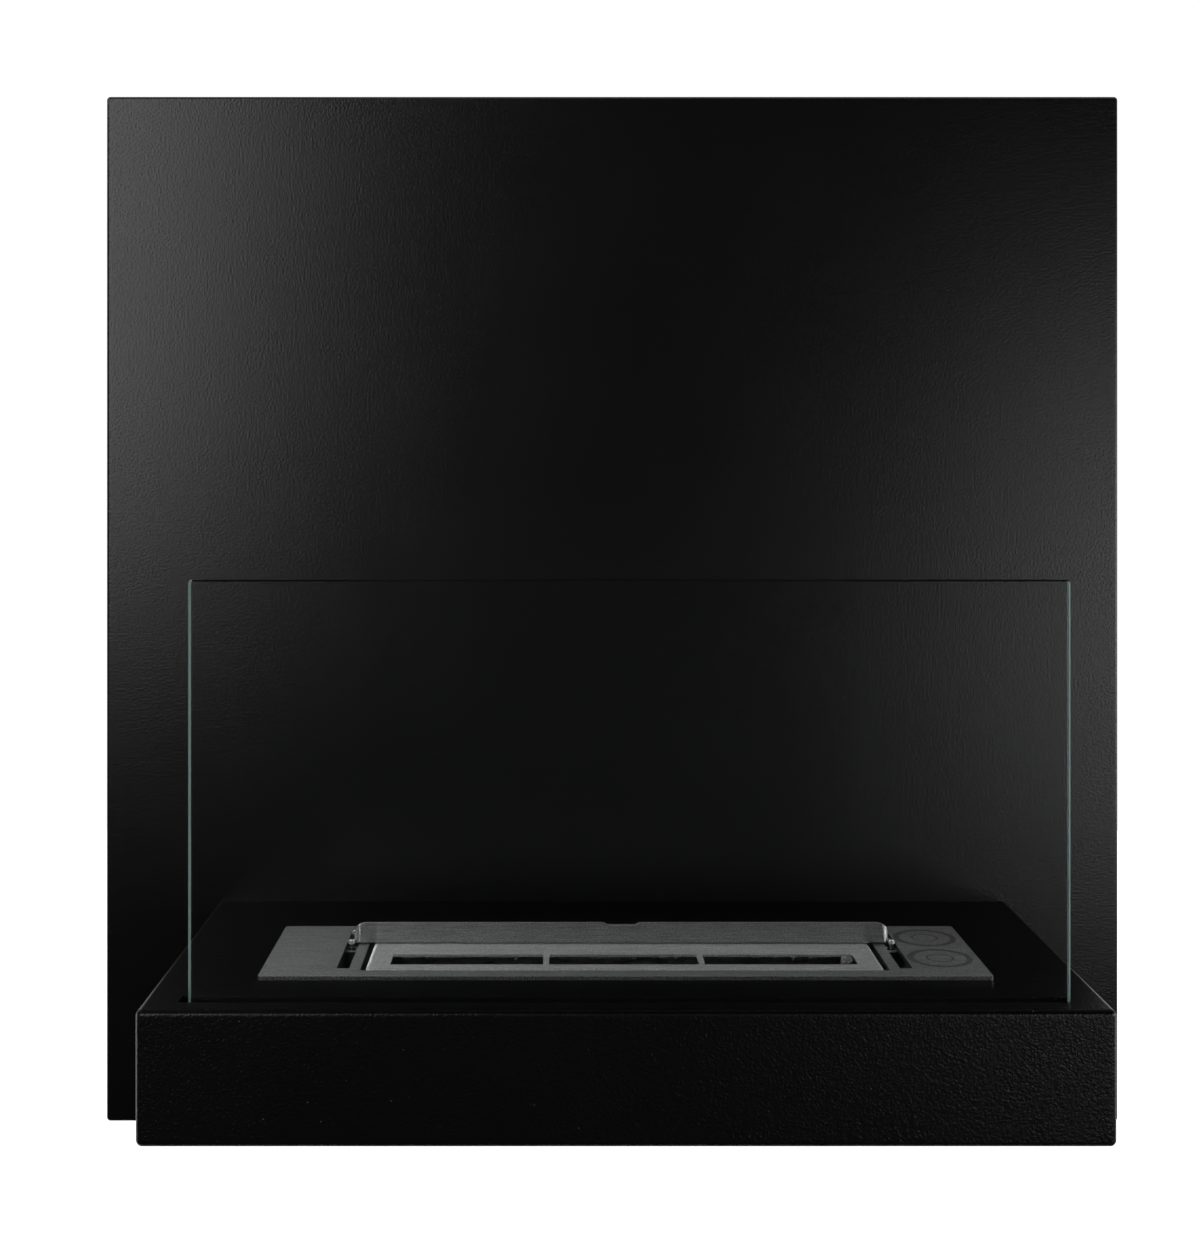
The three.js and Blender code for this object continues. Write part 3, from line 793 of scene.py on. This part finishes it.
def glass_channel():
    x, y, z = spans("glass_channel")
    sheet = 1.2 * MM
    points = [
        (y[0] + sheet / 2, z[1]),
        (y[0] + sheet / 2, z[0] + sheet / 2),
        (y[1] - sheet / 2, z[0] + sheet / 2),
        (y[1] - sheet / 2, z[1]),
    ]
    made = sideways("folded_glass_channel", folded_outline(points, sheet, 0.9 * MM), x)
    dress(made, "wall_unit", "black_powder_coat", HEARTH_COAT, ["glass_channel"])


def glass_rubbers():
    nodes = ["glass_liner_front", "glass_liner_back", "glass_pad_1", "glass_pad_2", "glass_pad_3"]
    for node in nodes:
        x, y, z = spans(node)
        made = upright(node.replace("glass", "silicone"), rounded_outline(x, y, 0.4 * MM), z)
        dress(made, "wall_unit", "black_silicone", SILICONE, [node], edge=0.3 * MM)


def glass_pane():
    """Its outline has small round corners, and a polished flat arris runs round both faces."""
    x, y, z = spans("glass_pane")
    arris = 0.8 * MM
    corner = 2 * MM
    loops = []
    for inset, along in ((arris, y[0]), (0, y[0] + arris), (0, y[1] - arris), (arris, y[1])):
        outline = rounded_outline(grown(x, -inset), grown(z, -inset), corner - inset)
        loops.append(on_y(outline, along))
    made = loft("toughened_pane", loops)
    dress(made, "glass", "clear_glass", GLASS, ["glass_pane"], edge=0)
    made.modifiers.clear()
    made.data.shade_flat()
    recoat(made, GROUND_GLASS, lambda face: abs(face.normal.x) > 0.5)


# ---------------------------------------------------------------- burner


def burner_plate():
    made = upright("burner_plate", rounded_outline(PLATE_X, PLATE_Y, PLATE_CORNER, 8), PLATE_Z)
    deep = grown(PLATE_Z, PAST)
    cutout = rounded_outline(from_middle(CUTOUT_HALF), from_plate(CUTOUT_DEPTH), 1.5 * MM)
    cut(made, upright("cutout", cutout, deep))
    for side in (-1, 1):
        ends = sorted(BURNER_X + side * edge for edge in GUIDE_ACROSS)
        cut(made, block("guide", ends, from_plate(GUIDE_DEPTH), deep))
    steel = (PLATE_STEEL, ["burner_top_plate"])
    dress(made, "burner", "brushed_stainless", *steel, edge=0.5 * MM, segments=1)
    made.data.set_sharp_from_angle(angle=BEVELLED_ANGLE)
    recoat(made, EDGE_STEEL, lambda face: abs(face.normal.z) < 0.3)
    # Painted highlight: the chamfer faces take the light copy of the steel.
    recoat(made, HIGHLIGHT_EDGE_STEEL, lambda face: 0.3 < abs(face.normal.z) < 0.95)


def flame_cover():
    """A drawn lid: its top falls away softly before the tight bend, and steeply at the ends."""
    x, y, z = spans("flame_slot_cover")
    bend, shoulder, fall = 0.8 * MM, 8 * MM, 0.75 * MM
    profile = [(shoulder + 1.5 * MM, 0)]
    for step in range(9):
        share = step / 8
        profile.append((shoulder - (shoulder - 0.65 * MM) * share, fall * share ** 2))
    for step in range(1, 7):
        angle = math.radians(12 + 78 * step / 6)
        profile.append((bend * (1 - math.sin(angle)), fall + bend * (1 - math.cos(angle))))
    skirt = z[1] - z[0]
    profile += [(0, skirt), (COVER_SHEET, skirt), (COVER_SHEET, fall + COVER_SHEET + 0.4 * MM)]
    profile += [(COVER_SHEET + 0.4 * MM, fall + COVER_SHEET), (shoulder + 1.5 * MM, COVER_SHEET)]
    loops = []
    for inset, down in profile:
        end_inset = inset if down > fall else 0.35 * MM + 1.9 * (fall - down)
        corner = 3.2 * MM + 0.7 * inset if down <= fall else 3.2 * MM
        outline = rounded_outline(grown(x, -end_inset), grown(y, -inset), corner)
        loops.append(on_z(outline, z[1] - down))
    made = loft("flame_cover", loops)
    edge = BAR_FROM_MIDDLE - BAR_WIDTH / 2
    far = BAR_FROM_MIDDLE + BAR_WIDTH / 2
    for low, high in ((-FLAME_HALF, -far), (-edge, edge), (far, FLAME_HALF)):
        across = (BURNER_X + low, BURNER_X + high)
        window = rounded_outline(across, from_plate(FLAME_DEPTH), 0.5 * MM)
        cut(made, upright("window", window, (z[1] - 4 * MM, z[1] + PAST)))
    dress(made, "burner", "brushed_stainless", COVER_STEEL, ["flame_slot_cover"], edge=0.15 * MM)


def tubs():
    """Two deep-drawn tubs, one inside the other, both open at the top."""
    wall, bend = 1 * MM, 4 * MM
    tub_corners = (("fuel_tank", "tank_tub", 5 * MM), ("overflow_tray", "overflow_tub", 6 * MM))
    for node, name, corner in tub_corners:
        x, y, z = spans(node)

        def place(across, back, down, floor=z[0]):
            return (across, back, floor + down)

        made = pan(name, x, y, z[1] - z[0], wall, bend, place, corner)
        dress(made, "burner", "brushed_stainless", TANK_STEEL, [node])


def strand(bm, points, radius):
    """A thin four-sided tube through points, closed at both ends."""
    rings = []
    for i, here in enumerate(points):
        along = (points[min(i + 1, len(points) - 1)] - points[max(i - 1, 0)]).normalized()
        side = along.cross(Vector((0.31, 0.52, 0.79))).normalized()
        lift = along.cross(side)
        thick = radius * (0.5 if i in (0, len(points) - 1) else 1)
        rings.append([bm.verts.new(here + (side * c + lift * d) * thick)
                      for c, d in ((1, 0), (0, 1), (-1, 0), (0, -1))])
    for near, far in zip(rings, rings[1:]):
        for k in range(4):
            bm.faces.new((near[k], near[(k + 1) % 4], far[(k + 1) % 4], far[k]))
    bm.faces.new(rings[0])
    bm.faces.new(rings[-1])


def loose_fibres(bm):
    """Strands that stand up at the windows' back edges, and a pale curl at the right-hand end."""
    random.seed(7)
    back = PLATE_FRONT + FLAME_DEPTH[1]
    top = PLATE_TOP + 0.2 * MM
    for _ in range(LOOSE_STRANDS):
        x = BURNER_X + random.uniform(-0.97, 0.97) * FLAME_HALF
        y = back + random.uniform(-1.9, -0.5) * MM
        z = top - random.uniform(0.0, 1.4) * MM
        reach = random.uniform(0.6, 2.6) * MM
        heading = random.uniform(0, 2 * math.pi)
        sag = random.uniform(-0.6, 0.5) * MM
        points = []
        for step in range(5):
            share = step / 4 - 0.5
            points.append(Vector((x + reach * share * math.cos(heading),
                                  y + 0.4 * reach * share * math.sin(heading),
                                  z - sag * (0.25 - share * share) * 4)))
        strand(bm, points, random.uniform(0.07, 0.16) * MM)
    curl_x = BURNER_X + FLAME_HALF - 3.8 * MM
    curl_y = back - 6.2 * MM
    for lane in range(CURL_LANES):
        points = []
        wide = (2.6 - 0.25 * lane) * MM
        for step in range(13):
            angle = math.radians(-60 + 300 * step / 12)
            height = top - (0.3 + 0.5 * lane) * MM + random.uniform(-0.2, 0.2) * MM
            points.append(Vector((curl_x + wide * math.cos(angle) - 0.3 * lane * MM,
                                  curl_y + 1.9 * wide * math.sin(angle),
                                  height)))
        strand(bm, points, CURL_STRAND)


def fibre_block():
    """A block of ceramic fibre: its top is lumpy felt, and its sides are soft."""
    x, y, z = spans("ceramic_wool_block")
    across, deep = 200, 54
    lump = 1.0 * MM
    bm = bmesh.new()
    rows = []
    for j in range(deep + 1):
        row = []
        for i in range(across + 1):
            px = x[0] + (x[1] - x[0]) * i / across
            py = y[0] + (y[1] - y[0]) * j / deep
            rim = min(px - x[0], x[1] - px, py - y[0], y[1] - py)
            fall = 3 * MM * max(0.0, 1 - rim / (4 * MM)) ** 2
            big = noise.noise(Vector((px, py, 0)) * 90)
            small = noise.noise(Vector((px, py, 1)) * 420)
            rise = lump * (0.5 + 0.5 * big) + 0.3 * lump * small
            row.append(bm.verts.new((px, py, z[1] - fall - lump * 1.3 + min(rise, lump * 1.3))))
        rows.append(row)
    for low, high in zip(rows, rows[1:]):
        for i in range(across):
            bm.faces.new((low[i], low[i + 1], high[i + 1], high[i]))
    rim = [rows[0][i] for i in range(across)]
    rim += [rows[j][across] for j in range(deep)]
    rim += [rows[deep][i] for i in range(across, 0, -1)]
    rim += [rows[j][0] for j in range(deep, 0, -1)]
    floor = [bm.verts.new((v.co.x, v.co.y, z[0])) for v in rim]
    for i in range(len(rim)):
        j = (i + 1) % len(rim)
        bm.faces.new((rim[i], floor[i], floor[j], rim[j]))
    bm.faces.new(floor)
    loose_fibres(bm)
    made = mesh_object("fibre_felt", bm)
    dress(made, "burner", "ceramic_wool", FIBRE, ["ceramic_wool_block"], edge=0)


# ---------------------------------------------------------------- sliding damper


def ear_places():
    for number in range(1, 5):
        x, y = (middle(span(f"damper_pin_{number}", axis)) for axis in (X, Y))
        yield number, (x, y)


def damper_lid():
    """Lip and leaf are one sheet; the lip's ends are rolled back and its upper corners rounded."""
    low = PLATE_TOP + DAMPER_GAP
    top = span("damper_slide", Z)[1]
    x = from_middle(DAMPER_HALF)
    front = PLATE_FRONT + LIP_FRONT
    deep = grown((low, top), PAST)
    tall = (front - PAST, front + LEAF_DEPTH + PAST)
    outside = rounded_outline(x, (front, front + 3 * LIP_RETURN), LIP_ROLL, 10)
    lip = upright("damper_lid", outside, (low, top))
    inside_y = (front + SHEET, front + 4 * LIP_RETURN)
    hollow = rounded_outline(grown(x, -SHEET), inside_y, LIP_ROLL - SHEET, 10)
    behind = block("behind", grown(x, PAST), (front + LIP_RETURN, front + 4 * LIP_RETURN), deep)
    cut(lip, upright("hollow", hollow, deep), behind)
    silhouette = []
    for centre_x, start in ((x[1] - LIP_CORNER, 0), (x[0] + LIP_CORNER, 90)):
        arc = []
        for step in range(11):
            angle = math.radians(start + 9 * step)
            height = top - LIP_CORNER + LIP_CORNER * math.sin(angle)
            arc.append((centre_x + LIP_CORNER * math.cos(angle), height))
        silhouette += arc
        if start == 0:
            silhouette.append((BURNER_X + NOTCH_HALF, top))
            for step in range(9):
                share = 1 - step / 4
                dip = NOTCH_DEPTH * (1 - abs(share) ** 6)
                silhouette.append((BURNER_X + (NOTCH_HALF - 0.3 * MM) * share, top - dip))
            silhouette.append((BURNER_X - NOTCH_HALF, top))
    silhouette = [(x[1], low - PAST)] + silhouette + [(x[0], low - PAST)]
    keep(lip, frontal("silhouette", silhouette, tall))
    leaf_y = (front, front + LEAF_DEPTH)
    leaf = upright("leaf", rounded_outline(x, leaf_y, LIP_ROLL, 10), (low, low + SHEET))
    join(lip, leaf)
    back = front + LEAF_DEPTH + PAST
    side = [(back, low), (back, top + PAST), (front, top + PAST)]
    for step in range(9):
        angle = math.radians(180 + 90 * step / 8)
        depth = front + LIP_BEND + LIP_BEND * math.cos(angle)
        side.append((depth, low + LIP_BEND + LIP_BEND * math.sin(angle)))
    keep(lip, sideways("side", side, grown(x, PAST)))
    for _, centre in ear_places():
        join(lip, turned("ear", cylinder(EAR_RADIUS, (low, low + SHEET)), centre))
    for _, centre in ear_places():
        hole = [(ON_AXIS, low - PAST), (EAR_HOLE, low - PAST), (EAR_HOLE, low + SHEET),
                (2.1 * MM, low + SHEET), (2.1 * MM, top + PAST), (ON_AXIS, top + PAST)]
        cut(lip, turned("hole", hole, centre))
    dress(lip, "damper", "brushed_stainless", DAMPER_STEEL, ["damper_slide"], edge=0.12 * MM)


def damper_pins():
    """Rivets: a domed head on the ear, a thin collar just below the plate, a peened end. Below the
    plate's top the pin is coated black as painted shade in the guide slot.
    """
    for number, centre in ear_places():
        node = f"damper_pin_{number}"
        z = span(node, Z)
        seat = z[1] - PIN_DOME
        shoulder = PLATE_TOP - 2.4 * MM
        under_plate = PLATE_Z[0] - 0.3 * MM
        under_clip = z[0] + PIN_DOME
        profile = [(ON_AXIS, z[0]), (1.5 * MM, z[0]), (1.95 * MM, z[0] + 0.2 * MM),
                   (PIN_PEEN, under_clip), (PIN_SHANK, under_clip), (PIN_SHANK, under_plate),
                   (2.2 * MM, under_plate), (PIN_COLLAR, under_plate + 0.2 * MM),
                   (PIN_COLLAR, shoulder - 0.4 * MM), (2.1 * MM, shoulder - 0.08 * MM),
                   (1.8 * MM, shoulder), (PIN_SHANK, shoulder), (PIN_SHANK, seat)]
        for step in range(7):
            angle = math.radians(90 * step / 6)
            radius = max(PIN_HEAD * math.cos(angle), ON_AXIS)
            profile.append((radius, seat + PIN_DOME * math.sin(angle)))
        made = turned(f"guide_rivet_{number}", profile, centre)
        dress(made, "damper", "brushed_stainless", PIN_STEEL, [node], edge=0)
        # Painted shade: every face below the plate's top is coated black silicone, which stands for
        # the shade in the guide slot.
        recoat(made, SILICONE, lambda face: face.center.z < PLATE_TOP)


def damper_clips():
    for number, centre in ear_places():
        node = f"damper_clip_{number}"
        z = span(node, Z)
        rings = [(EAR_HOLE, z[0]), (CLIP_RADIUS, z[0]), (CLIP_RADIUS, z[1]), (EAR_HOLE, z[1])]
        made = ring_of(f"retaining_ring_{number}", rings, centre, Z)
        dress(made, "damper", "zinc_steel", ZINC, [node], edge=0.12 * MM)


# ---------------------------------------------------------------- stage, light and camera

WHITE = (1, 1, 1, 1)
CAMERA_STRENGTH = 1.05        # the surround, as the camera sees it, also through the pane
BACKDROP_STRENGTH = 0.9       # the surround behind the wall plane, in light and reflections
ROOM_STRENGTH = 0.003         # the same in front of the wall plane
BACKDROP_BLEND = 0.15         # Y of the direction at which the backdrop has its full strength


def camera():
    """Level and square on to the wall, a little left of the middle, with a rising front."""
    data = bpy.data.cameras.new("camera")
    made = bpy.data.objects.new("camera", data)
    bpy.context.scene.collection.objects.link(made)
    data.sensor_width = 36
    data.lens = 50.32
    data.shift_x = 0.0355
    data.shift_y = -0.1326
    face = span("back_panel", Y)[0]
    made.location = (-33.6 * MM, face - 1037.5 * MM, -155.65 * MM)
    made.rotation_euler = (math.radians(90), 0, 0)
    bpy.context.scene.camera = made


def area_light(name, place, target, size, power):
    data = bpy.data.lights.new(name, "AREA")
    data.shape = "RECTANGLE"
    data.size, data.size_y = size
    data.energy = power
    made = bpy.data.objects.new(name, data)
    bpy.context.scene.collection.objects.link(made)
    made.location = place
    made.rotation_euler = (Vector(target) - Vector(place)).to_track_quat("-Z", "Y").to_euler()


def surround():
    """A white surround. The object itself sees it only behind the wall plane, and dark in front."""
    world = bpy.data.worlds.new("surround")
    bpy.context.scene.world = world
    world.use_nodes = True
    tree = world.node_tree
    tree.nodes.clear()
    output = tree.nodes.new("ShaderNodeOutputWorld")
    either = tree.nodes.new("ShaderNodeMixShader")
    path = tree.nodes.new("ShaderNodeLightPath")
    bounced = tree.nodes.new("ShaderNodeMath")
    bounced.operation = "ADD"
    bounced.use_clamp = True
    dim = tree.nodes.new("ShaderNodeBackground")
    dim.inputs["Color"].default_value = WHITE
    direction = tree.nodes.new("ShaderNodeTexCoord")
    parts = tree.nodes.new("ShaderNodeSeparateXYZ")
    backdrop = tree.nodes.new("ShaderNodeMapRange")
    backdrop.inputs["From Min"].default_value = 0.0
    backdrop.inputs["From Max"].default_value = BACKDROP_BLEND
    backdrop.inputs["To Min"].default_value = ROOM_STRENGTH
    backdrop.inputs["To Max"].default_value = BACKDROP_STRENGTH
    tree.links.new(direction.outputs["Generated"], parts.inputs[0])
    tree.links.new(parts.outputs["Y"], backdrop.inputs["Value"])
    tree.links.new(backdrop.outputs["Result"], dim.inputs["Strength"])
    bright = tree.nodes.new("ShaderNodeBackground")
    bright.inputs["Strength"].default_value = CAMERA_STRENGTH
    bright.inputs["Color"].default_value = WHITE
    tree.links.new(path.outputs["Diffuse Depth"], bounced.inputs[0])
    tree.links.new(path.outputs["Glossy Depth"], bounced.inputs[1])
    tree.links.new(bounced.outputs[0], either.inputs[0])
    tree.links.new(bright.outputs[0], either.inputs[1])
    tree.links.new(dim.outputs[0], either.inputs[2])
    tree.links.new(either.outputs[0], output.inputs["Surface"])


def pale_floor():
    """It fills the frame's foot with white, and takes no part in the object's light."""
    floor = block("floor", (-6, 6), (-6, 6), (-1.66, -1.65))
    m = Material("pale_floor")
    shader = m.add("BsdfPrincipled", {"Roughness": 0.9, "Emission Strength": 0.95})
    shader.inputs["Base Color"].default_value = (0.9, 0.9, 0.9, 1)
    shader.inputs["Emission Color"].default_value = WHITE
    floor.data.materials.append(m.finish(shader))
    floor.visible_diffuse = False
    floor.visible_glossy = False
    floor.visible_transmission = False


def lights():
    centre = (0, 0, -0.25)
    area_light("left_softbox", (-0.7, -1.2, 0.21), centre, (0.43, 1.15), 4.9)
    area_light("right_softbox", (0.88, -1.44, -0.36), centre, (0.42, 0.75), 2.3)
    area_light("top_softbox", (0.0, -0.6, 1.1), (0, -0.1, -0.4), (1.8, 0.35), 2.1)
    area_light("right_strip", (1.25, -0.5, -0.3), (0.15, -0.12, -0.41), (0.8, 0.5), 5.5)
    area_light("left_glint", (-0.73, -0.15, 0.28), (-0.15, -0.15, -0.41), (0.3, 0.3), 0.9)
    bpy.context.scene.view_settings.view_transform = "Standard"


camera()
surround()
pale_floor()
lights()
back_panel()
hearth_box()
bottom_cover()
wall_rail()
panel_hanger()
shelf_brackets()
shelf_fasteners()
cover_screws()
glass_channel()
glass_rubbers()
glass_pane()
burner_plate()
flame_cover()
tubs()
fibre_block()
damper_lid()
damper_pins()
damper_clips()
